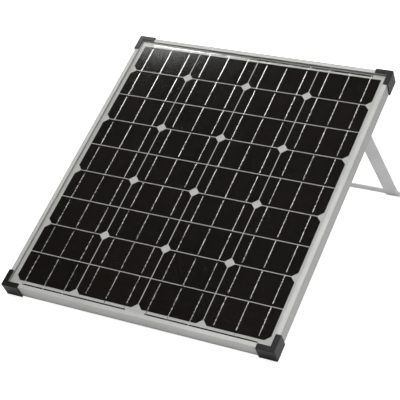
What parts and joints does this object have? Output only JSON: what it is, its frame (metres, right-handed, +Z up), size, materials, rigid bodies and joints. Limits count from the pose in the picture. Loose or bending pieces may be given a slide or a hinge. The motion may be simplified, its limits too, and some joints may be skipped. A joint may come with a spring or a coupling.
{
  "type": "solar panel",
  "caption": "Framed rigid photovoltaic panel with corner protectors, standing tilted on a pair of fold-out rear legs joined by a crossbar.",
  "frame": {"origin": "centre of the bounding box on the floor plane, with the panel standing on its opened rear legs", "axes": "+X across the panel to its right as seen from the front, +Y from the front edge towards the rear legs, +Z up"},
  "size_m": [0.676, 0.8626, 0.4129],
  "materials": {
    "anodised_frame": "satin anodised",
    "bare_aluminium": "satin, lightly brushed",
    "black_protector": "fine moulded grain",
    "front_glass": "clear tempered low-iron glass",
    "clear_encapsulant": "clear",
    "white_encapsulant": "smooth",
    "silicon_cell": "dark blue-black with fine metal fingers",
    "tinned_ribbon": "bright tinned copper",
    "white_backsheet": "smooth satin film",
    "seal_foam": "foam tape",
    "black_box_plastic": "fine moulded grain",
    "black_rubber": "smooth",
    "silicone": "smooth",
    "terminal_brass": "tinned brass",
    "diode_body": "moulded epoxy",
    "insulating_film": "film",
    "zinc_steel": "bright zinc plated",
    "white_nylon": "smooth"
  },
  "bodies": {
    "panel": {"frame_rail_right": "anodised_frame", "frame_rail_left": "anodised_frame", "frame_rail_top": "anodised_frame", "frame_rail_bottom": "anodised_frame", "corner_key_top_right": "anodised_frame", "corner_key_top_left": "anodised_frame", "corner_key_bottom_right": "anodised_frame", "corner_key_bottom_left": "anodised_frame", "corner_protector_top_right": "black_protector", "corner_protector_top_left": "black_protector", "corner_protector_bottom_right": "black_protector", "corner_protector_bottom_left": "black_protector", "front_glass": "front_glass", "encapsulant_front": "clear_encapsulant", "encapsulant_rear": "white_encapsulant", "backsheet": "white_backsheet", "edge_seal": "seal_foam", "cell_string_1": "silicon_cell", "cell_string_2": "silicon_cell", "cell_string_3": "silicon_cell", "cell_string_4": "silicon_cell", "tabbing_ribbons_1": "tinned_ribbon", "tabbing_ribbons_2": "tinned_ribbon", "tabbing_ribbons_3": "tinned_ribbon", "tabbing_ribbons_4": "tinned_ribbon", "bus_ribbons": "tinned_ribbon", "output_tabs": "tinned_ribbon", "insulating_films": "insulating_film", "junction_box_adhesive": "silicone", "junction_box_base": "black_box_plastic", "junction_box_gasket": "black_rubber", "junction_box_lid": "black_box_plastic", "junction_box_lid_screws": "zinc_steel", "terminal_rails": "terminal_brass", "bypass_diodes": "diode_body", "gland_body_right": "black_box_plastic", "gland_body_left": "black_box_plastic", "gland_seal_right": "black_rubber", "gland_seal_left": "black_rubber", "gland_nut_right": "black_box_plastic", "gland_nut_left": "black_box_plastic", "gland_lock_nut_right": "black_box_plastic", "gland_lock_nut_left": "black_box_plastic", "hinge_bracket_right": "bare_aluminium", "hinge_bracket_left": "bare_aluminium", "bracket_rivets": "bare_aluminium", "pivot_bolt_right": "zinc_steel", "pivot_bolt_left": "zinc_steel", "spacer_washer_right": "white_nylon", "spacer_washer_left": "white_nylon", "flat_washer_right": "zinc_steel", "flat_washer_left": "zinc_steel"},
    "stand": {"leg_right": "bare_aluminium", "leg_left": "bare_aluminium", "crossbar": "bare_aluminium", "crossbar_rivets": "bare_aluminium"},
    "wing_nut_left": {"wing_nut_left": "zinc_steel"},
    "wing_nut_right": {"wing_nut_right": "zinc_steel"}
  },
  "joints": [
    {"name": "stand_fold", "type": "hinge", "parent": "panel", "child": "stand", "pos_m": [0, 0.14414, 0.33184], "axis": [1, 0, 0], "range_deg": [-102.1, 0]},
    {"name": "wing_nut_left_turn", "type": "hinge", "parent": "panel", "child": "wing_nut_left", "pos_m": [-0.2984, 0.14414, 0.33184], "axis": [1, 0, 0], "range_deg": [0, 450]},
    {"name": "wing_nut_right_turn", "type": "hinge", "parent": "panel", "child": "wing_nut_right", "pos_m": [0.2984, 0.14414, 0.33184], "axis": [-1, 0, 0], "range_deg": [0, 450]}
  ]
}
